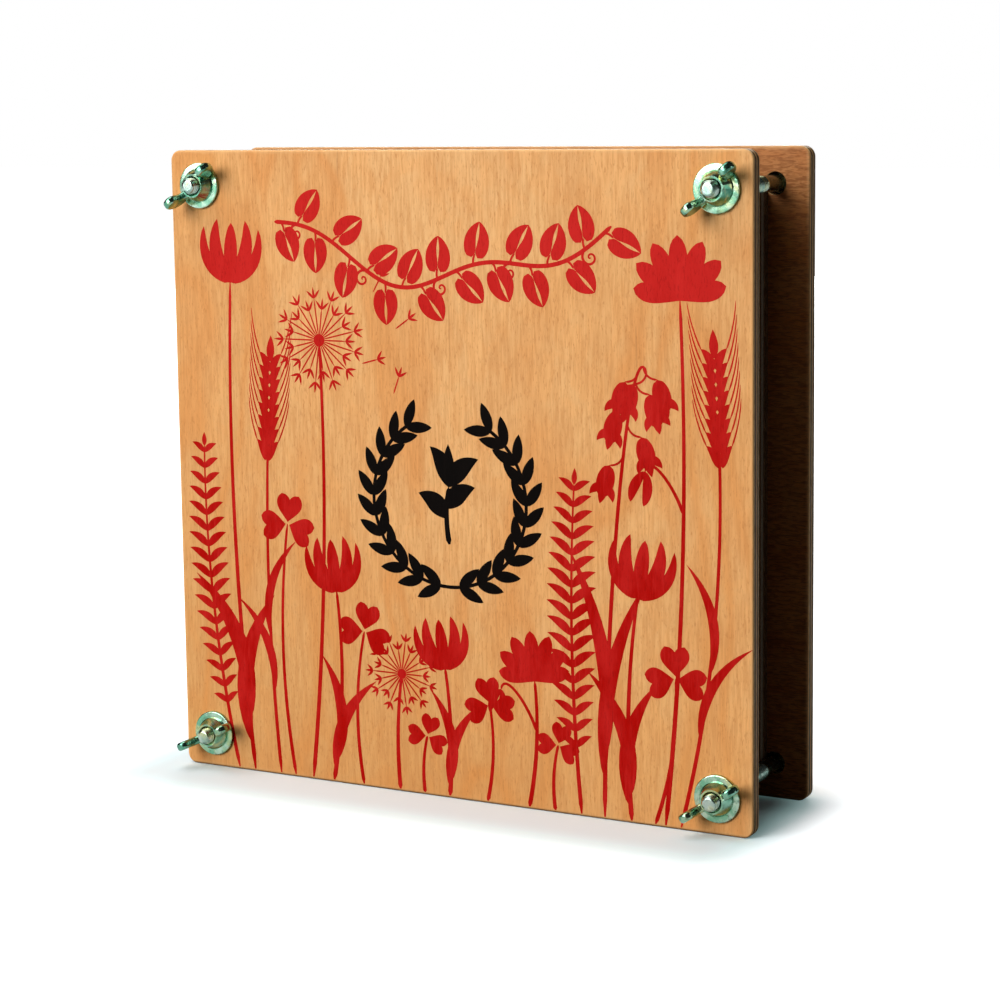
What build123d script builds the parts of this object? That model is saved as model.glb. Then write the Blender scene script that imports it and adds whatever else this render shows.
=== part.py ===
from build123d import *
import math
import os

# A flower press: two square plywood boards on four long bolts, drawn together by wing nuts on the
# front, with a stack of corrugated cards and blotting papers between them.
# It stands upright on the boards' lower edges: front towards -Y, +X to the right, +Z up, millimetres.
# The origin is under the middle of the whole press, on the surface that it stands on.

os.makedirs("parts", exist_ok=True)

# Boards
BOARD_WIDTH = 180.0
BOARD_THICKNESS = 4.3
CORNER_RADIUS = 3.0
EDGE_ROUND = 0.6
HOLE_INSET = 10.0
HOLE_DIAMETER = 6.4

# Bolts, M5 with a plain shank under a domed head and a square neck
THREAD_DIAMETER = 4.9
SHANK_DIAMETER = 4.5
SHANK_LENGTH = 13.6
TIP_CHAMFER = 0.5
TIP_STICK_OUT = 2.1
HEAD_DIAMETER = 13.0
HEAD_HEIGHT = 2.8
HEAD_RIM = 0.5
NECK_WIDTH = 5.0
NECK_LENGTH = 3.0

# Washers and wing nuts
WASHER_DIAMETER = 13.0
WASHER_THICKNESS = 1.0
NUT_BASE_DIAMETER = 9.4
NUT_TOP_DIAMETER = 6.7
NUT_FLANGE = 0.6
NUT_BOSS_HEIGHT = 3.3
NUT_CHAMFER = 0.4
WING_SPAN = 19.0
WING_HEIGHT = 7.7
WING_THICKNESS = 2.4
WING_ROUND = 0.85
WING_TIP_RADIUS = 2.4
WING_NECK_SLOPE = 0.3

# Sheets of the stack
CARD_COUNT = 6
CARD_THICKNESS = 3.0
CARD_LINER = 0.35
FLUTE_WALL = 0.35
FLUTE_PITCH = 6.5
FLUTE_ROUND = 0.7
BLOTTERS_PER_GAP = 2
BLOTTER_THICKNESS = 0.6
SHEET_REST_ANGLE = 52.0

# Clearances
THREAD_CLEARANCE = 0.05
WASHER_CLEARANCE = 0.25
NECK_CLEARANCE = 0.1
SHEET_GAP = 0.15
FLOWER_GAP = 8.65
SHEET_SEAT_CLEARANCE = 0.1
SHEET_TOP_CLEARANCE = 0.85

# The corners, as directions from the middle of the board, and how each wing nut is turned
# (degrees from level, of the wing that points up to the right)
CORNERS = {
    "top_left": (-1, 1, 40.0),
    "top_right": (1, 1, 44.0),
    "bottom_left": (-1, -1, 25.0),
    "bottom_right": (1, -1, 33.0),
}

# Places along the bolts, from the wing nuts at the front to the bolt heads at the back
blotter_count = BLOTTERS_PER_GAP * (CARD_COUNT - 1)
sheet_count = CARD_COUNT + blotter_count
stack_room = (
    CARD_COUNT * CARD_THICKNESS
    + blotter_count * BLOTTER_THICKNESS
    + sheet_count * SHEET_GAP
    + FLOWER_GAP
)
depth = WING_HEIGHT + WASHER_THICKNESS + 2 * BOARD_THICKNESS + stack_room + HEAD_HEIGHT
washer_y = -depth / 2 + WING_HEIGHT
front_y = washer_y + WASHER_THICKNESS
front_inner_y = front_y + BOARD_THICKNESS
back_inner_y = front_inner_y + stack_room
back_y = back_inner_y + BOARD_THICKNESS
tip_y = washer_y - NUT_BOSS_HEIGHT - TIP_STICK_OUT
bolt_length = back_y - tip_y

# Places across the boards
centre_z = BOARD_WIDTH / 2
hole_spacing = BOARD_WIDTH - 2 * HOLE_INSET

# The sheets stand between the bolts, with their lower corners on the two lower bolts
seat_radius = THREAD_DIAMETER / 2 + SHEET_SEAT_CLEARANCE
seat_inset = seat_radius * math.sin(math.radians(SHEET_REST_ANGLE))
seat_rise = seat_radius * math.cos(math.radians(SHEET_REST_ANGLE))
sheet_width = hole_spacing - 2 * seat_inset
sheet_height = hole_spacing - 2 * seat_rise - SHEET_TOP_CLEARANCE
sheet_centre_z = HOLE_INSET + seat_rise + sheet_height / 2

# A wing nut's bore, and the outline of a wing from its foot on the boss round the tip and back to its neck
bore_radius = THREAD_DIAMETER / 2 + THREAD_CLEARANCE
wing_foot = (NUT_TOP_DIAMETER / 2, NUT_FLANGE)
wing_side = (WING_SPAN / 2, WING_HEIGHT - WING_TIP_RADIUS)
wing_top = (WING_SPAN / 2 - WING_TIP_RADIUS, WING_HEIGHT)
wing_neck = (NUT_TOP_DIAMETER / 2, NUT_BOSS_HEIGHT - NUT_FLANGE)


def facing_front(x, y, z, turn=0.0):
    """A plane that faces the front, with its x axis turned up from +X by some degrees."""
    across = (math.cos(math.radians(turn)), 0, math.sin(math.radians(turn)))
    return Plane(origin=(x, y, z), x_dir=across, z_dir=(0, -1, 0))


def along_bolt(seat):
    """The plane through a bolt's axis whose x runs out along a facing plane's x and y to the front."""
    return Plane(origin=seat.origin, x_dir=seat.x_dir, z_dir=-seat.y_dir)


def finish(piece, name):
    """Label a finished piece and write it to a file of the same name."""
    piece.part.label = name
    export_step(piece.part, f"parts/{name}.step")


# Front board: four plain clearance holes, edges and corners softly rounded
with BuildPart() as front_board:
    with BuildSketch(facing_front(0, front_inner_y, centre_z)):
        RectangleRounded(BOARD_WIDTH, BOARD_WIDTH, CORNER_RADIUS)
        with GridLocations(hole_spacing, hole_spacing, 2, 2):
            Circle(HOLE_DIAMETER / 2, mode=Mode.SUBTRACT)
    extrude(amount=BOARD_THICKNESS)
    front_faces = faces().filter_by(Axis.Y).sort_by(Axis.Y)
    fillet(front_faces[0].outer_wire().edges() + front_faces[-1].outer_wire().edges(), EDGE_ROUND)
finish(front_board, "front_board")

# Back board: the same, with square pockets at the back that keep the bolts from turning
with BuildPart() as back_board:
    with BuildSketch(facing_front(0, back_y, centre_z)):
        RectangleRounded(BOARD_WIDTH, BOARD_WIDTH, CORNER_RADIUS)
        with GridLocations(hole_spacing, hole_spacing, 2, 2):
            Circle(HOLE_DIAMETER / 2, mode=Mode.SUBTRACT)
    extrude(amount=BOARD_THICKNESS)
    back_faces = faces().filter_by(Axis.Y).sort_by(Axis.Y)
    fillet(back_faces[0].outer_wire().edges() + back_faces[-1].outer_wire().edges(), EDGE_ROUND)
    with BuildSketch(facing_front(0, back_y, centre_z)):
        with GridLocations(hole_spacing, hole_spacing, 2, 2):
            Rectangle(NECK_WIDTH + 2 * NECK_CLEARANCE, NECK_WIDTH + 2 * NECK_CLEARANCE)
    extrude(amount=NECK_LENGTH + NECK_CLEARANCE, mode=Mode.SUBTRACT)
finish(back_board, "back_board")

for corner, (side, level, wing_turn) in CORNERS.items():
    x = side * hole_spacing / 2
    z = centre_z + level * hole_spacing / 2
    axis = Axis((x, 0, z), (0, -1, 0))

    # Bolt: a turned profile from the dome at the back to the chamfered tip, and the square neck
    under_head = facing_front(x, back_y, z)
    with BuildPart() as bolt:
        with BuildSketch(along_bolt(under_head)):
            with BuildLine():
                TangentArc((0, -HEAD_HEIGHT), (HEAD_DIAMETER / 2, -HEAD_RIM), tangent=(1, 0))
                Polyline(
                    (HEAD_DIAMETER / 2, -HEAD_RIM),
                    (HEAD_DIAMETER / 2, 0),
                    (SHANK_DIAMETER / 2, 0),
                    (SHANK_DIAMETER / 2, SHANK_LENGTH),
                    (THREAD_DIAMETER / 2, SHANK_LENGTH + (THREAD_DIAMETER - SHANK_DIAMETER) / 2),
                    (THREAD_DIAMETER / 2, bolt_length - TIP_CHAMFER),
                    (THREAD_DIAMETER / 2 - TIP_CHAMFER, bolt_length),
                    (0, bolt_length),
                    (0, -HEAD_HEIGHT),
                )
            make_face()
        revolve(axis=axis)
        with BuildSketch(under_head):
            Rectangle(NECK_WIDTH, NECK_WIDTH)
        extrude(amount=NECK_LENGTH)
    finish(bolt, f"bolt_{corner}")

    # Washer: a flat ring on the front board
    with BuildPart() as washer:
        with BuildSketch(facing_front(x, front_y, z)):
            Circle(WASHER_DIAMETER / 2)
            Circle(THREAD_DIAMETER / 2 + WASHER_CLEARANCE, mode=Mode.SUBTRACT)
        extrude(amount=WASHER_THICKNESS)
    finish(washer, f"washer_{corner}")

    # Wing nut: two rounded wings that sweep out and forward from a tapered boss
    seat = facing_front(x, washer_y, z, wing_turn)
    with BuildPart() as wing_nut:
        with BuildSketch(along_bolt(seat)):
            with BuildLine():
                Spline(wing_side, wing_foot, tangents=((0, -1), (-1, 0)))
                TangentArc(wing_side, wing_top, tangent=(0, 1))
                Spline(wing_top, wing_neck, tangents=((-1, 0), (-1, -WING_NECK_SLOPE)))
                Line(wing_neck, wing_foot)
            make_face()
            mirror(about=Plane.YZ)
        extrude(amount=WING_THICKNESS / 2, both=True)
        wing_faces = faces().filter_by(Axis(seat.origin, seat.y_dir))
        fillet(wing_faces.edges().filter_by(GeomType.LINE, reverse=True), WING_ROUND)
        with BuildSketch(along_bolt(seat)):
            with BuildLine():
                Polyline(
                    (bore_radius, 0),
                    (NUT_BASE_DIAMETER / 2, 0),
                    (NUT_BASE_DIAMETER / 2, NUT_FLANGE),
                    (NUT_TOP_DIAMETER / 2, NUT_BOSS_HEIGHT),
                    (bore_radius + NUT_CHAMFER, NUT_BOSS_HEIGHT),
                    (bore_radius, NUT_BOSS_HEIGHT - NUT_CHAMFER),
                    close=True,
                )
            make_face()
        revolve(axis=axis)
    finish(wing_nut, f"wing_nut_{corner}")

# The hollows of a card's core: a wedge with a rounded ridge, wide at one liner and narrow at the other
core = CARD_THICKNESS - 2 * CARD_LINER
flute_slope = math.atan2(core, FLUTE_PITCH / 2)
hollow_width = FLUTE_PITCH - FLUTE_WALL / math.sin(flute_slope)
hollow_height = hollow_width / 2 * math.tan(flute_slope)
flute_count = int(sheet_height / FLUTE_PITCH) - 1
with BuildSketch() as hollow:
    Polygon((0, -hollow_width / 2), (0, hollow_width / 2), (hollow_height, 0), align=None)
    fillet(hollow.vertices().sort_by(Axis.X)[-1], FLUTE_ROUND)

# The stack, from the front: a card, then two blotting papers and a card, and so on. It is parted in
# the middle, where flowers are laid
gap_sheets = [("blotter", BLOTTER_THICKNESS)] * BLOTTERS_PER_GAP
stack = ([("card", CARD_THICKNESS)] + gap_sheets) * (CARD_COUNT - 1) + [("card", CARD_THICKNESS)]
made = {"card": 0, "blotter": 0}
sheet_y = front_inner_y
for place, (kind, thickness) in enumerate(stack):
    sheet_y += FLOWER_GAP if place == sheet_count // 2 else SHEET_GAP
    made[kind] += 1
    section = Plane(origin=(-sheet_width / 2, sheet_y, sheet_centre_z), x_dir=(0, 1, 0), z_dir=(1, 0, 0))
    with BuildPart() as sheet:
        with BuildSketch(section):
            with Locations((thickness / 2, 0)):
                Rectangle(thickness, sheet_height)
            if kind == "card":
                with Locations((CARD_LINER, 0)):
                    with GridLocations(0, FLUTE_PITCH, 1, flute_count):
                        add(hollow.sketch, mode=Mode.SUBTRACT)
                with Locations((CARD_THICKNESS - CARD_LINER, 0)):
                    with GridLocations(0, FLUTE_PITCH, 1, flute_count + 1):
                        add(hollow.sketch, rotation=180, mode=Mode.SUBTRACT)
        extrude(amount=sheet_width)
    finish(sheet, f"{kind}_{made[kind]}")
    sheet_y += thickness
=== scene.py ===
import math

import bpy
import numpy as np
from mathutils import Matrix, Vector


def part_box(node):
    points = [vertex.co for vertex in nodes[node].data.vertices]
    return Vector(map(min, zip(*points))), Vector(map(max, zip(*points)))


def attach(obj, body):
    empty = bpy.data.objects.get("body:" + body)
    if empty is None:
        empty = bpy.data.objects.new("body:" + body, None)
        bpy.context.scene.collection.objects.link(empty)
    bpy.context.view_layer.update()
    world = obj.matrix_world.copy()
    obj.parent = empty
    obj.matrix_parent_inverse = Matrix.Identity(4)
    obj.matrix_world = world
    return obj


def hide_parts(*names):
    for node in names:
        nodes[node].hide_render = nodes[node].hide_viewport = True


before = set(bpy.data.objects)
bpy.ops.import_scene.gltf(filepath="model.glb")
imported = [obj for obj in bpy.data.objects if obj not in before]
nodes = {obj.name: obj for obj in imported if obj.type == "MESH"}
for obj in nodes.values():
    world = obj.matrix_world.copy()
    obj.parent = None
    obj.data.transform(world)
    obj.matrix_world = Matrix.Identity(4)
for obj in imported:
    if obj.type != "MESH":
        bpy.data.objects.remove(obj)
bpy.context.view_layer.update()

MM = 0.001

# Where things are, in metres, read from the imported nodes
FRONT_LOW, FRONT_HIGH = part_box("front_board")
BACK_LOW, BACK_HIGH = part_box("back_board")
FRONT_FACE_Y = FRONT_LOW[1]
BACK_INNER_Y = BACK_LOW[1]
BACK_FACE_Y = BACK_HIGH[1]
BOARD_THICKNESS = FRONT_HIGH[1] - FRONT_LOW[1]
BOARD_HALF = FRONT_HIGH[0]
CORNERS = ("top_left", "top_right", "bottom_left", "bottom_right")

# The bolts' own details: M5 thread on a reduced shank under a domed head
BOLT_COLUMNS = 48
THREAD_PITCH = 0.8 * MM
THREAD_RADIUS = 2.45 * MM
THREAD_ROOT_RADIUS = 2.0 * MM
THREAD_RINGS_A_TURN = 10
THREAD_RUNOUT = 1.5 * THREAD_PITCH
FLANK_SLOPE = 2.6
FLANK_FOOT = 0.55
SHANK_RADIUS = 2.25 * MM
SHANK_LENGTH = 13.6 * MM
SHANK_RINGS = 6
TIP_CHAMFER = 0.8 * MM
HEAD_RADIUS = 6.5 * MM
HEAD_HEIGHT = 2.8 * MM
HEAD_RIM = 0.5 * MM
DOME_RINGS = 14
DOME_FIRST = 0.06
RIM_SHARES = np.array([0.75, 0.5, 0.25, 0.0])
RIM_DRAWN_IN = np.array([0.0, 0.0, 0.02, 0.12]) * MM
NECK_SIDE = 5.0 * MM
NECK_LENGTH = 3.0 * MM
NECK_EASE = 0.2 * MM
NECK_EASED_SHARE = 0.94

# Room between the rings of one part of a bolt and of the next
NECK_TO_SHANK = 0.02 * MM
SHANK_TO_THREAD = 0.1 * MM
THREAD_TO_TIP = 0.05 * MM

# The washers: the hole's room round the thread, and how far the front and back edges are rounded
WASHER_COLUMNS = 96
WASHER_BEND_RINGS = 6
WASHER_CLEARANCE = 0.25 * MM
WASHER_SOFT = 0.32 * MM
WASHER_CRISP = 0.12 * MM

# The print: how proud of the board it is, what each crossing stroke adds, and how deep it is let in
INK_PROUD = 0.02 * MM
INK_STEP = 0.0015 * MM
INK_DEPTH = 0.03 * MM
PRINT_FOOT = 0.75
STROKE_LEAST = 0.02

# The camera of the photograph, found by fitting the boards' edges and the washers
CAMERA_PLACE = (330.4 * MM, -602.5 * MM, 191.9 * MM)
CAMERA_YAW = -28.2941
CAMERA_PITCH = 7.5043
CAMERA_ROLL = -0.7072
FOCAL_PX = 2471.4
IMAGE_PX = 1000.0
AXIS_ROW_PX = 430.0
SENSOR_MM = 36.0

# The lamps' places in metres, their sides in metres and their power in watts
LAMP_TARGET = (0, 0, 0.08)
LAMPS = {
    "key_light": ((-0.95, -2.05, 0.95), 1.6, 62.5),
    "top_light": ((-0.55, -0.25, 1.45), 1.4, 15.0),
    "back_light": ((-0.75, 1.85, 0.40), 1.0, 30.0),
    "side_light": ((1.90, 0.45, 0.45), 0.7, 2.2),
}

# The floor: its shade is darkest over a box round the press, and fades over a reach from the box; the shade
# is the lamps' real shadow, deepened and tinted by a painted shadow where the floor's glow is held back
FLOOR_HALF = 6.0
FLOOR_TONE = (0.80, 0.88, 0.90, 1.0)
FLOOR_BOUNCE = (0.06, 0.06, 0.06, 1.0)
FLOOR_IN_METAL = 0.05
SHADE_MIDDLE = (-6 * MM, -8 * MM, 0.0)
SHADE_HALF = (86 * MM, 22 * MM, 0.0)
SHADE_STRETCH = (1.25, 1.0, 1.0)
SHADE_REACH = 40 * MM
PAINTED_SHADOW_TINT = (0.55, 1.0, 0.98, 1.0)
PAINTED_SHADOW_TINT_ENDS = 0.6
WORLD_LIGHT = 0.02
WORLD_IN_METAL = 0.01
WHITE = (1.0, 1.0, 1.0, 1.0)


# Meshes

def new_piece(name, points, faces, smooth=True):
    """A mesh object at the origin from an (n, 3) array of points and a list of faces."""
    mesh = bpy.data.meshes.new(name)
    mesh.from_pydata(points, [], faces)
    mesh.polygons.foreach_set("use_smooth", np.full(len(mesh.polygons), smooth))
    mesh.update()
    piece = bpy.data.objects.new(name, mesh)
    bpy.context.collection.objects.link(piece)
    return piece


def wrapped_quads(rows, columns, close_rows=False):
    """Quads of a grid of rows whose columns close into rings, and whose rows may close as well."""
    i = np.arange(rows if close_rows else rows - 1)[:, None]
    j = np.arange(columns)[None, :]
    nxt, up = (j + 1) % columns, (i + 1) % rows
    corners = (i * columns + j, i * columns + nxt, up * columns + nxt, up * columns + j)
    return np.stack([np.broadcast_to(c, (i.size, columns)) for c in corners], -1).reshape(-1, 4)


def turned(along, radius, axis_xz, columns):
    """Points of rings round a bolt's axis: ring k lies at along[k] on Y, and its point at angle a is
    radius[k, a] from the axis."""
    angle = np.linspace(0, 2 * np.pi, columns, endpoint=False)
    x = axis_xz[0] + radius * np.cos(angle)
    z = axis_xz[1] + radius * np.sin(angle)
    y = np.broadcast_to(along[:, None], x.shape)
    return np.stack([x, y, z], -1).reshape(-1, 3)


def lathe(name, along, radius, axis_xz, columns):
    """A closed solid of rings round a bolt's axis. One point on the axis closes each end."""
    rings = turned(along, radius, axis_xz, columns)
    ends = [[axis_xz[0], along[0], axis_xz[1]], [axis_xz[0], along[-1], axis_xz[1]]]
    first, last = len(rings), len(rings) + 1
    top = len(rings) - columns
    j = np.arange(columns)
    nxt = (j + 1) % columns
    cap_first = np.stack([np.full_like(j, first), nxt, j], -1)
    cap_last = np.stack([np.full_like(j, last), top + j, top + nxt], -1)
    faces = wrapped_quads(len(along), columns).tolist() + cap_first.tolist() + cap_last.tolist()
    return new_piece(name, np.vstack([rings, ends]), faces)


def ring(name, along, radius, axis_xz, columns):
    """A ring round a bolt's axis: a closed outline of (along, radius) pairs turned round the axis."""
    points = turned(along, radius[:, None], axis_xz, columns)
    return new_piece(name, points, wrapped_quads(len(along), columns, close_rows=True).tolist())


def bolt_axis(corner):
    """The (x, z) of a corner's bolt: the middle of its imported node."""
    low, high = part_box(f"bolt_{corner}")
    return (low[0] + high[0]) / 2, (low[2] + high[2]) / 2


def make_bolt(corner):
    """A bolt as one turned surface, from the dome to the tip. The radius is the dome's arc, then the
    square neck's (half the side over the larger of |cos a|, |sin a|), the plain shank's, and the
    thread's: a flat-topped ridge that climbs one pitch a turn, faded in at the shank and cut by the
    tip's chamfer."""
    angle = np.linspace(0, 2 * np.pi, BOLT_COLUMNS, endpoint=False)
    one = np.ones(BOLT_COLUMNS)
    tip_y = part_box(f"bolt_{corner}")[0][1]

    crown = HEAD_HEIGHT - HEAD_RIM
    dome_radius = (HEAD_RADIUS**2 + crown**2) / (2 * crown)
    sweep = np.linspace(DOME_FIRST, 1.0, DOME_RINGS) * math.asin(HEAD_RADIUS / dome_radius)
    dome_y = BACK_FACE_Y + HEAD_RIM + crown - dome_radius * (1 - np.cos(sweep))
    dome_r = dome_radius * np.sin(sweep)[:, None] * one
    rim_y = BACK_FACE_Y + RIM_SHARES * HEAD_RIM
    rim_r = (HEAD_RADIUS - RIM_DRAWN_IN)[:, None] * one

    square = NECK_SIDE / 2 / np.maximum(np.abs(np.cos(angle)), np.abs(np.sin(angle)))
    neck_y = BACK_FACE_Y - np.array([0.0, NECK_LENGTH - NECK_EASE, NECK_LENGTH])
    neck_r = np.stack([square, square, NECK_EASED_SHARE * square])

    ring_step = THREAD_PITCH / THREAD_RINGS_A_TURN
    thread_y = np.arange(BACK_FACE_Y - SHANK_LENGTH, tip_y + THREAD_TO_TIP, -ring_step)
    shank_ends = BACK_FACE_Y - NECK_LENGTH - NECK_TO_SHANK, thread_y[0] + SHANK_TO_THREAD
    shank_y = np.linspace(*shank_ends, SHANK_RINGS)
    shank_r = SHANK_RADIUS * np.ones((SHANK_RINGS, 1)) * one
    turns = (thread_y[:, None] / THREAD_PITCH + angle / (2 * np.pi)) % 1.0
    flank = np.clip((0.5 - np.abs(turns - 0.5)) * FLANK_SLOPE - FLANK_FOOT, 0.0, 1.0)
    thread_r = THREAD_ROOT_RADIUS + (THREAD_RADIUS - THREAD_ROOT_RADIUS) * flank
    fade = np.clip((thread_y[0] - thread_y) / THREAD_RUNOUT, 0, 1)[:, None]
    thread_r = SHANK_RADIUS + (thread_r - SHANK_RADIUS) * fade
    tip_radius = THREAD_RADIUS - TIP_CHAMFER
    thread_r = np.minimum(thread_r, tip_radius + (thread_y - tip_y)[:, None])
    end_y = np.array([tip_y, tip_y])
    end_r = np.array([tip_radius, THREAD_RADIUS / 2])[:, None] * one

    along = np.concatenate([dome_y, rim_y, neck_y, shank_y, thread_y, end_y])
    radius = np.vstack([dome_r, rim_r, neck_r, shank_r, thread_r, end_r])
    bolt = lathe(f"threaded_bolt_{corner}", along, radius, bolt_axis(corner), BOLT_COLUMNS)
    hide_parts(f"bolt_{corner}")
    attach(bolt, "back_board")
    return bolt


def make_washer(corner):
    """A washer as a ring whose outline is a rectangle with rounded corners, softer at the front where
    the punch drew the edge in. A corner's arc is its radius times 1 - cos a and 1 - sin a."""
    low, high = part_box(f"washer_{corner}")
    outer = (high[0] - low[0]) / 2
    inner = THREAD_RADIUS + WASHER_CLEARANCE
    bend = np.linspace(0, np.pi / 2, WASHER_BEND_RINGS)
    back = bend[::-1]
    along = np.concatenate([
        low[1] + WASHER_SOFT * (1 - np.cos(back)), low[1] + WASHER_SOFT * (1 - np.cos(bend)),
        high[1] - WASHER_CRISP * (1 - np.sin(bend)), high[1] - WASHER_CRISP * (1 - np.sin(back)),
    ])
    radius = np.concatenate([
        inner + WASHER_SOFT * (1 - np.sin(back)), outer - WASHER_SOFT * (1 - np.sin(bend)),
        outer - WASHER_CRISP * (1 - np.cos(bend)), inner + WASHER_CRISP * (1 - np.cos(back)),
    ])
    washer = ring(f"rounded_washer_{corner}", along[::-1], radius[::-1], bolt_axis(corner), WASHER_COLUMNS)
    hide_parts(f"washer_{corner}")
    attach(washer, "front_board")
    return washer


# The print: a border of plants in red and a small wreath in black, all drawn as strokes of ink.
# Places on the board are in millimetres, u to the right of its middle and v up from its lower edge.
# A stroke is a midline, as an (n, 2) array, and half its width at each point.

def polar(point, angle, length):
    """The point at a length from another, at an angle in degrees from level."""
    turn = math.radians(angle)
    return np.asarray(point) + length * np.array([math.cos(turn), math.sin(turn)])


def arc_line(start, end, bow=0.0, count=25):
    """Points from start to end on a parabola that leaves the chord by bow times its length at most,
    to the left for a positive bow."""
    start, end = np.asarray(start, float), np.asarray(end, float)
    t = np.linspace(0, 1, count)[:, None]
    chord = end - start
    side = np.array([-chord[1], chord[0]])
    return start + chord * t + side * (4 * bow) * t * (1 - t)


def hermite_line(start, leave, end, arrive, count=33):
    """Points of a cubic from start to end that leaves along one vector and arrives along another."""
    t = np.linspace(0, 1, count)[:, None]
    start, leave, end, arrive = (np.asarray(p, float) for p in (start, leave, end, arrive))
    return (
        (2 * t**3 - 3 * t**2 + 1) * start + (t**3 - 2 * t**2 + t) * leave
        + (3 * t**2 - 2 * t**3) * end + (t**3 - t**2) * arrive
    )


def at(line, t):
    """The point and the direction, in degrees, at a share t of a line's points."""
    k = min(int(t * (len(line) - 1)), len(line) - 2)
    step = line[k + 1] - line[k]
    part = t * (len(line) - 1) - k
    return line[k] + part * step, math.degrees(math.atan2(step[1], step[0]))


def taper(line, first, last):
    """A stroke whose width runs evenly from first to last and narrows at both ends."""
    t = np.linspace(0, 1, len(line))
    ends = np.clip(np.minimum(t, 1 - t) * len(line) * 1.2, 0.35, 1.0)
    return line, (first + (last - first) * t) * ends / 2


def leaf(base, angle, length, width, bow=0.0, belly=0.42, full=0.85, count=15):
    """A pointed leaf: half its width is a power of a sine whose peak is at the share belly."""
    t = np.linspace(0, 1, count)
    warped = t ** (math.log(0.5) / math.log(belly))
    half = width / 2 * np.sin(np.pi * warped) ** full
    return arc_line(base, polar(base, angle, length), bow, count), np.maximum(half, STROKE_LEAST)


def petal(base, angle, length, width):
    """A blunt petal, widest near its end."""
    return leaf(base, angle, length, width, belly=0.66, full=0.62)


def dot(centre, diameter):
    """A round spot: half its width is a half circle along its length."""
    t = np.linspace(0, np.pi, 13)
    u = centre[0] - diameter / 2 * np.cos(t)
    half = np.maximum(diameter / 2 * np.sin(t), STROKE_LEAST)
    return np.stack([u, np.full_like(u, centre[1])], -1), half


def stem(u, top, lean, bow, thick=1.5, thin=0.9):
    """A stem's midline from the board's lower edge, and the stroke that draws it."""
    line = arc_line((u, PRINT_FOOT), (u + lean, top), bow, 33)
    return line, taper(line, thick, thin)


def blades(line, places, length, width, spread, bow, first=-1):
    """Leaves in turn on one side of a stem and the other."""
    strokes = []
    for k, place in enumerate(places):
        base, heading = at(line, place)
        side = -first if k % 2 else first
        strokes.append(leaf(base, heading + side * spread, length, width, side * bow))
    return strokes


def tulip(u, top, lean, bow, size, leaf_length):
    """A tulip: an open cup of five pointed petals on a stem with two long leaves."""
    line, drawn = stem(u, top, lean, bow)
    base, heading = at(line, 1.0)
    petals = (
        (0, 0.94, 0.25, 0.0, 0.5), (15, 1.02, 0.25, 0.14, 0.42), (-15, 1.02, 0.25, -0.14, 0.42),
        (31, 1.0, 0.2, 0.2, 0.42), (-31, 1.0, 0.2, -0.2, 0.42),
    )
    cup = [
        leaf(polar(base, heading, -0.4), heading + turn, size * reach, size * wide, sway, middle, 0.6)
        for turn, reach, wide, sway, middle in petals
    ]
    return [drawn] + cup + blades(line, (0.05, 0.1), leaf_length, 0.12 * leaf_length, 17, -0.13)


def fern(u, top, lean, bow, reach, pairs=17):
    """A fern frond: pairs of leaflets whose length is a sine along the stem, longest below its middle."""
    line, drawn = stem(u, top, lean, bow, 1.3, 0.5)
    strokes = [drawn]
    for place in np.linspace(0.2, 0.97, pairs):
        base, heading = at(line, place)
        grown = math.sin(math.pi * min(1.0, (1 - place) * 0.9 + 0.12)) ** 0.8
        length = reach * (0.22 + 0.78 * grown)
        for side in (1, -1):
            strokes.append(leaf(base, heading + side * 56, length, 0.2 * length + 0.8, side * -0.1, count=11))
    tip, heading = at(line, 1.0)
    strokes.append(leaf(polar(tip, heading, -1), heading, 0.5 * reach, 1.6, count=11))
    return strokes


def bluebell(u, top, lean, size, bells):
    """A bluebell: a stem whose tip nods over, hung with bells that end in three turned-out points."""
    side = math.copysign(1, lean)
    line = hermite_line((u, PRINT_FOOT), (0, 1.15 * top), (u + lean, top - 14), (side * 16, -40))
    strokes = [taper(line, 1.4, 0.7)]
    for k, place in enumerate(np.linspace(0.6, 1.0, bells)):
        base, _ = at(line, place)
        out = 1 if k % 2 else -1
        drop = polar(base, -90 + 52 * out, 0.55 * size)
        hang = -90 + 16 * out
        mouth = polar(drop, hang, 0.62 * size)
        strokes.append(taper(arc_line(base, drop, -0.2 * out, 9), 0.6, 0.6))
        strokes.append(leaf(drop, hang, 0.95 * size, 0.56 * size, 0, 0.5, 0.45))
        strokes += [leaf(mouth, hang + turn, 0.52 * size, 0.26 * size, turn / 300) for turn in (-46, 0, 46)]
    return strokes + blades(line, (0.06, 0.1), 0.42 * top, 4.4, 12, -0.08)


def trefoil(u, top, lean, bow, size):
    """A clover leaf: three leaflets, each of two lobes, on a thin stem."""
    line, drawn = stem(u, top, lean, bow, 1.2, 0.8)
    base, heading = at(line, 1.0)
    lobes = [
        petal(polar(base, heading + turn, 0.6), heading + turn + split, size, 0.54 * size)
        for turn in (0, 104, -104) for split in (20, -20)
    ]
    return [drawn] + lobes


def seed(base, angle, length, hair):
    """A flying seed: a thin stalk that ends in three fine hairs."""
    end = polar(base, angle, length)
    stalk = taper(arc_line(base, end, 0, 7), 0.42, 0.42)
    return [stalk] + [leaf(end, angle + turn, hair, 0.75, count=7) for turn in (-42, 0, 42)]


def clock(u, top, lean, bow, radius, rays):
    """A seed clock: long and short seeds in turn, all round a small heart."""
    line, drawn = stem(u, top, lean, bow, 1.4, 0.9)
    heart, _ = at(line, 1.0)
    strokes = [drawn, dot(heart, 0.3 * radius)]
    for k, angle in enumerate(np.linspace(0, 360, rays, endpoint=False)):
        length = radius * (0.88 if k % 2 else 0.62)
        strokes += seed(polar(heart, angle, 0.1 * radius), angle, length, 0.27 * radius)
    return strokes


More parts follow.
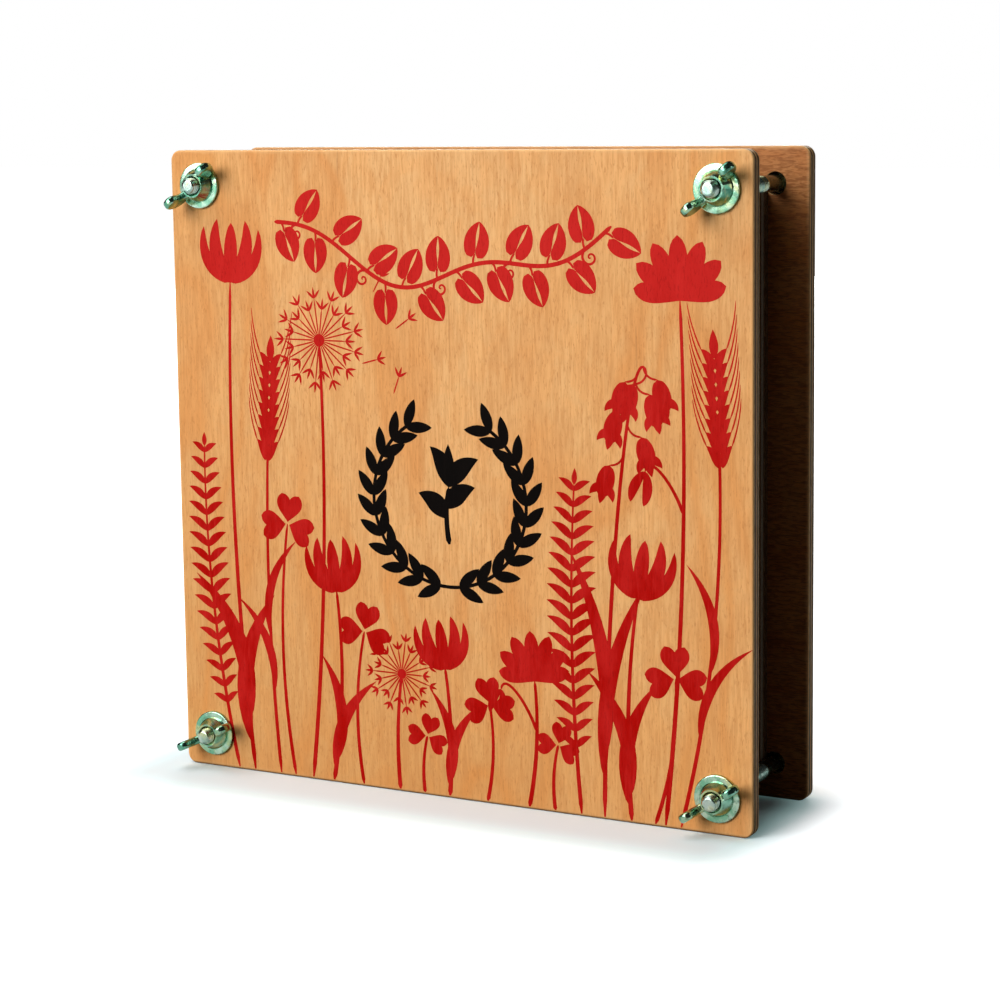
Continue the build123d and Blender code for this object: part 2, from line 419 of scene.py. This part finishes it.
def barley(u, top, lean, bow, rows=8):
    """A barley ear: two rows of grains along the end of the stem, each with a long fine awn."""
    line, drawn = stem(u, top, lean, bow, 1.2, 0.8)
    head, heading = at(line, 1.0)
    strokes = [drawn]
    for k in range(rows):
        base = polar(head, heading, 3.6 * (k - rows / 2))
        for side in (1, -1):
            grain = polar(base, heading + side * 70, 0.7)
            tip = polar(grain, heading + side * 27, 6.2)
            awn = arc_line(tip, polar(tip, heading + side * 15, 13), side * 0.04, 9)
            strokes.append(leaf(grain, heading + side * 27, 6.6, 2.5, side * -0.12, 0.42, 0.7, 11))
            strokes.append(taper(awn, 0.5, 0.25))
    strokes.append(leaf(polar(head, heading, 1.8 * rows), heading, 7.5, 2.6, count=11))
    return strokes + blades(line, (0.22, 0.38), 30, 2.8, 20, -0.14, 1 if u < 0 else -1)


def poppy(u, top, lean, bow, size):
    """A fan of seven blunt petals, and a bud that nods from a side stalk."""
    line, drawn = stem(u, top, lean, bow, 1.4, 0.9)
    base, heading = at(line, 1.0)
    fan = ((0, 1.0), (25, 0.98), (-25, 0.98), (50, 0.92), (-50, 0.92), (75, 0.8), (-75, 0.8))
    petals = [petal(base, heading + turn, size * reach, 0.31 * size) for turn, reach in fan]
    fork, _ = at(line, 0.6)
    side = -math.copysign(1, lean)
    stalk = hermite_line(fork, (side * 8, 24), fork + np.array([side * 11, 11]), (side * 3, -16), 21)
    bud, hang = at(stalk, 1.0)
    buds = [leaf(bud, hang + turn, 0.55 * size, 0.17 * size, turn / 120, 0.5, 0.6) for turn in (12, -12)]
    return [drawn, taper(stalk, 1.0, 0.7)] + buds + petals


def heart_leaf(base, angle, size):
    """A heart-shaped leaf: two bowed lobes that start behind the stalk and share a tip."""
    tip = polar(base, angle, size)
    half = 0.21 * size * np.sin(np.pi * np.linspace(0, 1, 15) ** 0.6) ** 0.7
    half = np.maximum(half, STROKE_LEAST)
    return [
        (arc_line(polar(base, angle + side * 140, 0.16 * size), tip, side * 0.16, 15), half)
        for side in (1, -1)
    ]


def tendril(base, angle, size, turn):
    """A tendril: a spiral that winds in over one and a half turns as its line thins."""
    t = np.linspace(0, 1, 31)
    winding = np.radians(angle) + turn * 3 * np.pi * t
    radius = size * (1 - t[:, None]) ** 1.2
    line = polar(base, angle + 180, size) + radius * np.stack([np.cos(winding), np.sin(winding)], -1)
    return taper(line, 0.8, 0.4)


def garland():
    """A vine that sags between the upper corners on a sine with a ripple, with heart-shaped leaves in
    turn above and below it and tendrils between them."""
    t = np.linspace(0, 1, 121)
    line = np.stack([-55 + 105 * t, 160 - 15 * np.sin(np.pi * t) + 3.4 * np.sin(4 * np.pi * t)], -1)
    strokes = [taper(line, 1.2, 1.2)]
    for k, place in enumerate(np.linspace(0.02, 0.98, 19)):
        base, heading = at(line, place)
        side = 1 if k % 2 else -1
        joint = polar(base, heading + side * 66, 3.0)
        strokes.append(taper(arc_line(base, joint, 0.1, 7), 0.7, 0.6))
        strokes += heart_leaf(joint, heading + side * 66, 8.8)
        if k % 4 == 1:
            strokes.append(tendril(base, heading + side * 90, 2.6, side))
    return strokes


def wreath(centre, radius):
    """A ring of leaves in pairs that rise to an opening at the top, round a sprout with five leaves."""
    turn = np.radians(np.linspace(118, 422, 61))
    line = np.asarray(centre) + radius * np.stack([np.cos(turn), np.sin(turn)], -1)
    strokes = [taper(line, 1.0, 1.0)]
    for place in np.linspace(0.02, 0.98, 22):
        base, heading = at(line, place)
        rising = heading if place > 0.5 else heading + 180
        strokes += [leaf(base, rising + split, 8.4, 3.2, 0, 0.45, 0.75, 11) for split in (34, -34)]
    foot = np.asarray(centre) + (0, -0.5 * radius)
    stalk = arc_line(foot, foot + (0, 0.66 * radius), 0.05, 15)
    strokes.append(taper(stalk, 1.7, 1.2))
    for place, split, length in ((0.45, 52, 0.46), (0.62, -52, 0.46), (1.0, 38, 0.52), (1.0, -38, 0.52)):
        base, heading = at(stalk, place)
        bow = -0.12 if split > 0 else 0.12
        strokes.append(leaf(base, heading + split, length * radius, 0.23 * radius, bow))
    strokes.append(leaf(stalk[-1], 90, 0.5 * radius, 0.16 * radius))
    return strokes


def ink_levels(strokes):
    """A level for each stroke, the lowest that no earlier stroke whose box meets its own has taken, so
    that strokes that cross never share a surface."""
    low = np.array([(line - half[:, None]).min(0) for line, half in strokes])
    high = np.array([(line + half[:, None]).max(0) for line, half in strokes])
    levels = np.zeros(len(strokes), int)
    for k in range(1, len(strokes)):
        meets = (low[:k] < high[k]).all(1) & (high[:k] > low[k]).all(1)
        levels[k] = np.setdiff1d(np.arange(k + 1), levels[:k][meets])[0]
    return levels


def ink_piece(name, strokes, levels):
    """Ink as one piece of closed strokes. A stroke's section is a thin rectangle across its midline, a
    little proud of the board by its level, and let into it at the bottom."""
    points, faces, count = [], [], 0
    for (line, half), level in zip(strokes, levels):
        run = np.gradient(line, axis=0)
        run /= np.linalg.norm(run, axis=1)[:, None]
        side = np.stack([-run[:, 1], run[:, 0]], -1) * half[:, None]
        left, right = (line + side) * MM, (line - side) * MM
        top = np.full(len(line), FRONT_FACE_Y - INK_PROUD - INK_STEP * level)
        low = np.full(len(line), FRONT_FACE_Y + INK_DEPTH)
        corners = [
            np.stack([edge[:, 0], depth, edge[:, 1]], -1)
            for edge, depth in ((left, top), (right, top), (right, low), (left, low))
        ]
        points.append(np.stack(corners, 1).reshape(-1, 3))
        last = 4 * (len(line) - 1)
        ends = np.array([[3, 2, 1, 0], [last, last + 1, last + 2, last + 3]])
        faces.append(np.vstack([wrapped_quads(len(line), 4), ends]) + count)
        count += 4 * len(line)
    piece = new_piece(name, np.vstack(points), np.vstack(faces)[:, ::-1].tolist(), smooth=False)
    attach(piece, "front_board")
    return piece


red_print = {
    "red_print_left": (
        fern(-71.5, 96, -9.5, 0.03, 8.0)
        + tulip(-66, 143, -4.5, 0.02, 18, 46)
        + barley(-57, 106, -1.5, 0.02)
        + clock(-46, 127, 5, -0.02, 12, 26)
        + trefoil(-52, 74, -1, 0.04, 8.5)
        + tulip(-39, 56, 2, -0.04, 16, 31)
    ),
    "red_print_right": (
        barley(69.5, 112, 10.5, -0.04)
        + bluebell(47, 136, 13, 9.5, 7)
        + poppy(65, 141, 4.5, -0.02, 17)
        + fern(40, 92, -1.5, 0.02, 9.0)
        + tulip(55, 62, 2, 0.03, 17, 36)
        + trefoil(62, 41, 6, -0.05, 8.5)
    ),
    "red_print_low": (
        trefoil(-29, 45, 1, 0.05, 8.0)
        + clock(-17, 34, 1, 0.03, 9.5, 22)
        + tulip(-1, 37, -1, -0.03, 15, 27)
        + trefoil(11, 28, 1, -0.05, 7.5)
        + poppy(24, 36, 2, -0.04, 14)
        + trefoil(-9, 17, 1, 0.05, 6.0)
        + trefoil(32, 19, 1, 0.05, 6.0)
    ),
    "red_print_garland": (
        garland()
        + seed((-23, 141), 60, 5, 3)
        + seed((-16, 131), 35, 5, 3)
        + seed((-27, 121), 15, 5, 3)
        + seed((-17, 113), 70, 5, 3)
    ),
}
red_levels = ink_levels(sum(red_print.values(), []))
red_pieces = []
for print_name, print_strokes in red_print.items():
    red_pieces.append(ink_piece(print_name, print_strokes, red_levels[:len(print_strokes)]))
    red_levels = red_levels[len(print_strokes):]
black_strokes = wreath((0, 84), 24)
black_piece = ink_piece("black_print_wreath", black_strokes, ink_levels(black_strokes))
bolts = [make_bolt(corner) for corner in CORNERS]
washers = [make_washer(corner) for corner in CORNERS]


# Looks

def srgb(red, green, blue):
    """A colour of 0 to 255 as the linear colour that a socket takes."""
    part = np.array([red, green, blue]) / 255
    linear = np.where(part <= 0.04045, part / 12.92, ((part + 0.055) / 1.055) ** 2.4)
    return (*linear.tolist(), 1.0)


class Tree:
    """The nodes of a material or a world. Most methods add one node and give the socket that it puts
    out. What they take may be sockets or plain values."""

    def __init__(self, owner):
        owner.use_nodes = True
        self.nodes = owner.node_tree.nodes
        self.links = owner.node_tree.links

    def fill(self, target, inputs):
        """Sets a node's inputs, by name or number: sockets are linked and other things are values."""
        for key, value in inputs.items():
            if isinstance(value, bpy.types.NodeSocket):
                self.links.new(value, target.inputs[key])
            else:
                target.inputs[key].default_value = value

    def add(self, kind, inputs, **settings):
        """A new node with its settings and inputs. Gives its outputs."""
        made = self.nodes.new(f"ShaderNode{kind}")
        for key, value in settings.items():
            setattr(made, key, value)
        self.fill(made, inputs)
        return made.outputs

    def place(self):
        """The place on the object, in metres."""
        return self.add("TexCoord", {})["Object"]

    def facing(self):
        """How far the surface faces to the back, from -1 to 1."""
        return self.parts(self.add("TexCoord", {})["Normal"])[1]

    def parts(self, vector):
        """The X, Y and Z of a vector."""
        return self.add("SeparateXYZ", {0: vector})

    def maths(self, operation, *values):
        """The result of a sum on numbers."""
        return self.add("Math", dict(enumerate(values)), operation=operation)[0]

    def plus(self, first, second):
        """Two numbers added."""
        return self.maths("ADD", first, second)

    def minus(self, first, second):
        """The second number taken from the first."""
        return self.maths("SUBTRACT", first, second)

    def times(self, first, second):
        """Two numbers multiplied."""
        return self.maths("MULTIPLY", first, second)

    def without_sign(self, value):
        """A number without its sign."""
        return self.maths("ABSOLUTE", value)

    def vectors(self, operation, *values):
        """The result of a sum on vectors."""
        return self.add("VectorMath", dict(enumerate(values)), operation=operation)[0]

    def span(self, value, low, high, first=0.0, last=1.0):
        """A value that runs smoothly from first to last as another runs from low to high."""
        inputs = {0: value, 1: low, 2: high, 3: first, 4: last}
        return self.add("MapRange", inputs, interpolation_type="SMOOTHSTEP")[0]

    def mix(self, share, first, second, blend="MIX"):
        """Two colours mixed by a share."""
        return self.add("Mix", {0: share, 6: first, 7: second}, data_type="RGBA", blend_type=blend)[2]

    def noise(self, place, lumps, detail=3.0, distortion=0.0):
        """Noise of 0 to 1 with so many lumps a metre along X, Y and Z."""
        return self.add("TexNoise", {
            "Vector": self.vectors("MULTIPLY", place, lumps), "Scale": 1.0, "Detail": detail,
            "Roughness": 0.55, "Distortion": distortion,
        })[0]

    def bump(self, height, strength, distance):
        """A normal from a height of 0 to 1 and the depth in metres that it stands for."""
        return self.add("Bump", {"Height": height, "Strength": strength, "Distance": distance})[0]


def new_look(name):
    """A new material, its nodes and its shader."""
    look = bpy.data.materials.new(name)
    tree = Tree(look)
    return look, tree, tree.nodes["Principled BSDF"]


# Lumps a metre of a veneer's figure, across the grain and along it
UPRIGHT_STREAKS = (1500, 120)
LEVEL_STREAKS = (1600, 280)
PORES = (3200, 620)
LINES = (520, 22)
BROAD = (26, 9)
MOTTLE = (150, 60)
CONTOUR_LEVELS = 9.0


def veneer(tree, place, upright):
    """A veneer's figure as five sockets: fine streaks along the grain, short dark pores, a few long dark
    lines, the broad mottle of a peeled sheet, and its soft contour lines, which are level lines of a
    slow noise. The grain runs along Z where upright, else along X."""
    def grained(lumps, detail, distortion):
        across, along = lumps
        stretch = (across, across, along) if upright else (along, across, across)
        return tree.noise(place, stretch, detail, distortion)

    streaks = grained(UPRIGHT_STREAKS, 4.0, 0.5) if upright else grained(LEVEL_STREAKS, 3.0, 0.9)
    pores = tree.span(grained(PORES, 2.0, 0.4), 0.55, 0.72)
    lines = tree.span(grained(LINES, 2.0, 0.5), 0.70, 0.76)
    contours = tree.maths("PINGPONG", tree.times(grained(BROAD, 1.5, 0.8), CONTOUR_LEVELS), 1.0)
    figure = tree.plus(tree.times(contours, 0.3), tree.times(grained(MOTTLE, 3.0, 1.2), 0.7))
    return streaks, pores, lines, figure, contours


# The boards' colours
WOOD_PALE = srgb(241, 186, 122)
WOOD_DEEP = srgb(236, 176, 110)
WOOD_WARM = srgb(245, 176, 104)
WOOD_FIGURE = srgb(210, 138, 72)
WOOD_CONTOUR = srgb(228, 146, 70)
WOOD_STREAK = srgb(204, 136, 74)
WOOD_PORE = srgb(178, 102, 46)
WOOD_LINE = srgb(140, 80, 40)
WOOD_SHADED_STREAK = srgb(104, 56, 28)
WOOD_RUBBED = srgb(236, 188, 128)
WOOD_FOOT_SHADE = srgb(60, 34, 18)
PLY_PALE = srgb(248, 204, 142)
PLY_DARK = srgb(92, 50, 28)
PLY_FIBRE = srgb(136, 90, 52)

# Tones that a face is multiplied by: its inner side, a painted shade between the boards, and its lower left
# corner, a painted shade where the light falls off, which fades with the height plus a share of X
INNER_FACE_SHADE = (0.60, 0.45, 0.35, 1.0)
LOW_LEFT_SHADE = (0.88, 0.80, 0.69, 1.0)
CORNER_SLOPE = 0.7
CORNER_FROM = -30 * MM
CORNER_TO = 90 * MM

# The plies on an edge, as shares of the thickness: the dark ones' middles from the board's middle, half
# their width at the core and at the fringe, and how far they waver
PLY_OFFSET = 0.19
PLY_CORE = 0.075
PLY_FRINGE = 0.095
PLY_WAVER = 0.08

# Wear: how far in the corners are rubbed and how soft that is; and how high the painted contact shade at the
# foot reaches
RUB_REACH = 1.6 * MM
RUB_SOFT = 0.5 * MM
FOOT_SHADE_HEIGHT = 1.0 * MM


def plywood(name, front_y, outward, upright):
    """Five-ply board: veneer on the faces, pale and dark plies on the edges and in the holes, corners
    rubbed a little paler and a painted contact shade at the foot. The face that looks outward, to the front
    for -1 and to the back for 1, keeps its colour, and the inner one, between the boards, takes a painted
    shade, darker and browner. Both darken towards the lower left corner, a painted shade."""
    look, tree, shader = new_look(name)
    place, facing = tree.place(), tree.facing()
    x, y, z = tree.parts(place)
    streaks, pores, lines, figure, contours = veneer(tree, place, upright)

    drift = tree.span(tree.noise(place, (11, 11, 8), 2.0), 0.35, 0.65)
    warmth = tree.span(tree.noise(place, (130, 130, 90), 3.0, 0.8), 0.4, 0.62, 0.0, 0.4)
    # Painted shade: the face darkens towards its lower left corner.
    corner = tree.plus(z, tree.times(x, CORNER_SLOPE))
    face = tree.mix(drift, WOOD_PALE, WOOD_DEEP)
    face = tree.mix(warmth, face, WOOD_WARM)
    face = tree.mix(tree.span(corner, CORNER_FROM, CORNER_TO, 1.0, 0.0), face, LOW_LEFT_SHADE, "MULTIPLY")
    face = tree.mix(tree.span(figure, 0.3, 0.68, 0.0, 0.30), face, WOOD_FIGURE)
    face = tree.mix(tree.span(contours, 0.55, 1.0, 0.0, 0.42), face, WOOD_CONTOUR)
    face = tree.mix(tree.span(streaks, 0.36, 0.66, 0.0, 0.46), face, WOOD_STREAK)
    face = tree.mix(tree.times(pores, 0.36), face, WOOD_PORE)
    face = tree.mix(tree.times(lines, 0.2), face, WOOD_LINE)
    # Painted shade on the inner face, between the boards: darker and browner, and darker still along the
    # grain's streaks.
    inner = tree.span(tree.times(facing, outward), -0.6, 0.6, 1.0, 0.0)
    ripple = tree.times(inner, tree.span(streaks, 0.40, 0.64, 0.0, 0.42))
    face = tree.mix(inner, face, INNER_FACE_SHADE, "MULTIPLY")
    face = tree.mix(ripple, face, WOOD_SHADED_STREAK)

    depth = tree.maths("DIVIDE", tree.minus(y, front_y), BOARD_THICKNESS)
    waver = tree.times(tree.minus(tree.noise(place, (70, 0, 70)), 0.5), PLY_WAVER)
    off_middle = tree.without_sign(tree.minus(tree.plus(depth, waver), 0.5))
    from_dark = tree.without_sign(tree.minus(off_middle, PLY_OFFSET))
    dark = tree.span(from_dark, PLY_CORE, PLY_FRINGE, 1.0, 0.0)
    fibres = tree.span(tree.noise(place, (420, 1600, 420), 4.0), 0.4, 0.7, 0.0, 0.35)
    edge = tree.mix(fibres, tree.mix(dark, PLY_PALE, PLY_DARK), PLY_FIBRE)

    on_face = tree.span(tree.without_sign(facing), 0.5, 0.68)
    from_side = tree.minus(BOARD_HALF, tree.without_sign(x))
    from_end = tree.minus(BOARD_HALF, tree.without_sign(tree.minus(z, BOARD_HALF)))
    from_edge = tree.maths("MINIMUM", from_side, from_end)
    reach = tree.times(tree.noise(place, (240, 240, 240), 3.0), RUB_REACH)
    rubbed = tree.span(tree.minus(from_edge, reach), -RUB_SOFT, RUB_SOFT, 0.3, 0.0)
    colour = tree.mix(on_face, edge, face)
    colour = tree.mix(tree.times(rubbed, on_face), colour, WOOD_RUBBED)
    # Painted contact shade along the foot, where the board stands on the floor.
    colour = tree.mix(tree.span(z, 0.0, FOOT_SHADE_HEIGHT, 0.85, 0.0), colour, WOOD_FOOT_SHADE)

    relief = tree.minus(tree.times(streaks, 0.5), tree.times(pores, 0.6))
    tree.fill(shader, {
        "Base Color": colour,
        "Roughness": tree.plus(tree.span(streaks, 0.3, 0.7, 0.46, 0.6), tree.times(pores, 0.12)),
        "Normal": tree.bump(relief, 0.35, 0.12 * MM),
        "Specular IOR Level": 0.18,
    })
    return look


# Heights over which the ink pales upward, a painted sheen
INK_SHEEN_FROM = 85 * MM
INK_SHEEN_AT = 160 * MM


def ink(name, full, thin, deep):
    """Screen ink, thinner where the streaks of the wood below show through, paler higher up as a painted
    sheen, and deeper in its pores and lines."""
    look, tree, shader = new_look(name)
    place = tree.place()
    z = tree.parts(place)[2]
    streaks, pores, lines, figure, _ = veneer(tree, place, True)
    cover = tree.noise(place, (160, 160, 60), 3.0)
    colour = tree.mix(tree.span(cover, 0.35, 0.7, 0.0, 0.45), full, thin)
    colour = tree.mix(tree.span(streaks, 0.5, 0.75, 0.0, 0.4), colour, thin)
    # Painted sheen: the ink pales higher up.
    colour = tree.mix(tree.span(z, INK_SHEEN_FROM, INK_SHEEN_AT, 0.0, 0.6), colour, thin)
    colour = tree.mix(tree.times(tree.maths("MAXIMUM", pores, lines), 0.3), colour, deep)
    tree.fill(shader, {
        "Base Color": colour,
        "Roughness": tree.span(figure, 0.3, 0.7, 0.46, 0.6),
        "Normal": tree.bump(tree.minus(tree.times(streaks, 0.5), pores), 0.3, 0.1 * MM),
        "Specular IOR Level": 0.02,
    })
    return look


PLATE_YELLOW = srgb(206, 204, 142)
# The painted shade of the bolts' shank between the boards, a dark olive, and how soft its start is
SHANK_SHADE = srgb(52, 64, 34)
SHANK_SHADE_SOFT = 1.0 * MM


def plated(name, pale, tinted, dull, rough, shank_shade_share=0.0):
    """Plated metal: the passivation tints it unevenly, with a little yellow, and handling dulls and
    scratches it. From the bolts' thread back it may take a painted shade, a dark olive over the shank
    between the boards, which ends in the back board."""
    look, tree, shader = new_look(name)
    place = tree.place()
    clouds = tree.noise(place, (260, 260, 260), 3.0, 0.8)
    yellow = tree.span(tree.noise(place, (140, 140, 140), 2.0, 1.2), 0.48, 0.66, 0.0, 0.7)
    grime = tree.span(tree.noise(place, (620, 620, 620), 4.0), 0.5, 0.72)
    scratches = tree.span(tree.noise(place, (2600, 300, 700), 2.0, 1.5), 0.62, 0.7)
    colour = tree.mix(tree.span(clouds, 0.35, 0.62), pale, tinted)
    colour = tree.mix(yellow, colour, PLATE_YELLOW)
    colour = tree.mix(tree.times(grime, 0.6), colour, dull)
    # Painted shade: a dark olive over the shank between the boards, from the thread's end into the back
    # board.
    if shank_shade_share:
        y = tree.parts(place)[1]
        thread_end = BACK_FACE_Y - SHANK_LENGTH
        begins = tree.span(y, thread_end - SHANK_SHADE_SOFT, thread_end + SHANK_SHADE_SOFT, 0.0, shank_shade_share)
        ends = tree.span(y, BACK_INNER_Y, BACK_FACE_Y, 1.0, 0.0)
        colour = tree.mix(tree.times(begins, ends), colour, SHANK_SHADE)
    handled = tree.plus(tree.times(grime, 0.16), tree.times(scratches, 0.12))
    relief = tree.minus(clouds, tree.times(scratches, 0.3))
    tree.fill(shader, {
        "Base Color": colour,
        "Metallic": 1.0,
        "Roughness": tree.plus(tree.span(clouds, 0.3, 0.7, rough, rough + 0.1), handled),
        "Normal": tree.bump(relief, 0.2, 0.03 * MM),
    })
    return look


def paper(name, sheet, fibre, speck, edge_shade_colour, roughness):
    """Pulp sheet: matted fibres and a few darker specks, and a painted shade on the edges, where the stack
    sits in the gap between the boards.
    """
    look, tree, shader = new_look(name)
    place, facing = tree.place(), tree.facing()
    fibres = tree.noise(place, (500, 500, 1500), 5.0, 2.2)
    clouds = tree.noise(place, (90, 90, 90), 2.0)
    specks = tree.span(tree.noise(place, (1400, 1400, 1400), 1.0), 0.70, 0.76)
    # Painted shade: the sheets' edges darken to a brown.
    edge_shade_share = tree.span(tree.without_sign(facing), 0.3, 0.7, 0.85, 0.0)
    colour = tree.mix(tree.span(fibres, 0.35, 0.68, 0.0, 0.8), sheet, fibre)
    colour = tree.mix(tree.span(clouds, 0.3, 0.7, 0.0, 0.3), colour, fibre)
    colour = tree.mix(tree.times(specks, 0.6), colour, speck)
    colour = tree.mix(edge_shade_share, colour, edge_shade_colour)
    tree.fill(shader, {
        "Base Color": colour,
        "Roughness": tree.span(fibres, 0.3, 0.7, roughness - 0.08, roughness),
        "Normal": tree.bump(fibres, 0.5, 0.15 * MM),
        "Specular IOR Level": 0.25,
    })
    return look


def dress(look, *objects):
    """Gives pieces one material."""
    for piece in objects:
        piece.data.materials.clear()
        piece.data.materials.append(look)


red_ink = ink("red_ink", srgb(178, 10, 5), srgb(216, 46, 42), srgb(118, 8, 5))
black_ink = ink("black_ink", srgb(8, 5, 4), srgb(18, 12, 9), srgb(4, 3, 2))
zinc = plated("zinc_plate", srgb(186, 212, 190), srgb(118, 174, 142), srgb(66, 94, 76), 0.12)
cast = plated("nut_plate", srgb(148, 194, 170), srgb(88, 150, 124), srgb(42, 68, 56), 0.10)
# The bolts take the painted shade on their shank at 0.8.
steel = plated("bolt_plate", srgb(190, 204, 194), srgb(140, 168, 156), srgb(78, 92, 82), 0.16, 0.8)
# Each sheet's last colour is the painted shade on its edges.
card = paper("kraft_card", srgb(164, 122, 80), srgb(142, 102, 64), srgb(84, 58, 36), srgb(84, 56, 34), 0.92)
blotter = paper(
    "blotting_paper", srgb(222, 215, 198), srgb(204, 195, 176), srgb(150, 136, 114), srgb(96, 80, 60), 0.95
)

dress(plywood("birch_plywood_front", FRONT_FACE_Y, -1, True), nodes["front_board"])
dress(plywood("birch_plywood_back", BACK_INNER_Y, 1, False), nodes["back_board"])
dress(red_ink, *red_pieces)
dress(black_ink, black_piece)
dress(zinc, *washers)
dress(cast, *[nodes[f"wing_nut_{corner}"] for corner in CORNERS])
dress(steel, *bolts)
dress(card, *[node for name, node in nodes.items() if name.startswith("card_")])
dress(blotter, *[node for name, node in nodes.items() if name.startswith("blotter_")])


# Camera, light and floor

def photo_camera():
    """The photograph's camera: yaw about Z, then pitch down, then roll about its own axis."""
    yaw, pitch, roll = (math.radians(a) for a in (CAMERA_YAW, CAMERA_PITCH, CAMERA_ROLL))
    ahead = Vector((math.sin(yaw) * math.cos(pitch), math.cos(yaw) * math.cos(pitch), -math.sin(pitch)))
    level = Vector((math.cos(yaw), -math.sin(yaw), 0))
    upward = level.cross(ahead)
    right = math.cos(roll) * level + math.sin(roll) * upward
    up = -math.sin(roll) * level + math.cos(roll) * upward
    camera = bpy.data.objects.new("photo_camera", bpy.data.cameras.new("photo_camera"))
    camera.matrix_world = Matrix.Translation(CAMERA_PLACE) @ Matrix((right, up, -ahead)).transposed().to_4x4()
    camera.data.sensor_width = SENSOR_MM
    camera.data.lens = FOCAL_PX * SENSOR_MM / IMAGE_PX
    camera.data.shift_y = (AXIS_ROW_PX - IMAGE_PX / 2) / IMAGE_PX
    bpy.context.collection.objects.link(camera)
    bpy.context.scene.camera = camera


def softbox(name, place, side, power):
    """A square lamp that faces the press."""
    lamp = bpy.data.lights.new(name, "AREA")
    lamp.size = side
    lamp.energy = power
    box = bpy.data.objects.new(name, lamp)
    turn = (Vector(LAMP_TARGET) - Vector(place)).to_track_quat("-Z", "Y")
    box.matrix_world = Matrix.Translation(place) @ turn.to_matrix().to_4x4()
    bpy.context.collection.objects.link(box)


def white_floor():
    """A pale floor that shows white where it is lit and from afar, and keeps the shadow near by. Its own
    light rises with the distance from the shade's box, which is the length of max(|p - middle| - half, 0),
    so that near the press it paints a shadow, tinted blue-green, over the lamps' own."""
    half = FLOOR_HALF
    points = [(-half, -half, 0), (half, -half, 0), (half, half, 0), (-half, half, 0)]
    floor = new_piece("floor", points, [(0, 1, 2, 3)])
    look = bpy.data.materials.new("floor_white")
    tree = Tree(look)
    tree.nodes.clear()
    rays = tree.add("LightPath", {})
    apart = tree.vectors("ABSOLUTE", tree.vectors("SUBTRACT", tree.place(), SHADE_MIDDLE))
    apart = tree.vectors("MAXIMUM", tree.vectors("SUBTRACT", apart, SHADE_HALF), (0.0, 0.0, 0.0))
    apart = tree.vectors("MULTIPLY", apart, SHADE_STRETCH)
    away = tree.add("VectorMath", {0: apart}, operation="LENGTH")["Value"]
    # Painted shadow: the glow is held back near the press and tinted blue-green where it is low.
    own = tree.span(away, 0.0, SHADE_REACH)
    tint = tree.mix(tree.span(own, 0.0, PAINTED_SHADOW_TINT_ENDS), PAINTED_SHADOW_TINT, WHITE)
    seen = tree.plus(rays["Is Camera Ray"], tree.times(rays["Is Glossy Ray"], FLOOR_IN_METAL))
    tone = tree.mix(rays["Is Diffuse Ray"], FLOOR_TONE, FLOOR_BOUNCE)
    body = tree.add("BsdfDiffuse", {"Color": tone})[0]
    glow = tree.add("Emission", {"Color": tint, "Strength": tree.times(own, seen)})[0]
    both = tree.add("AddShader", {0: body, 1: glow})[0]
    tree.add("OutputMaterial", {"Surface": both})
    dress(look, floor)


def white_world():
    """A white surround for the camera and a low light for everything else."""
    world = bpy.data.worlds.new("white_world")
    bpy.context.scene.world = world
    tree = Tree(world)
    rays = tree.add("LightPath", {})
    shown = tree.span(rays["Is Camera Ray"], 0.0, 1.0, WORLD_LIGHT, 1.0)
    strength = tree.plus(shown, tree.times(rays["Is Glossy Ray"], WORLD_IN_METAL))
    tree.fill(tree.nodes["Background"], {"Color": WHITE, "Strength": strength})


photo_camera()
for lamp_name, (lamp_place, lamp_side, lamp_power) in LAMPS.items():
    softbox(lamp_name, lamp_place, lamp_side, lamp_power)
white_floor()
white_world()
bpy.context.scene.view_settings.view_transform = "Standard"
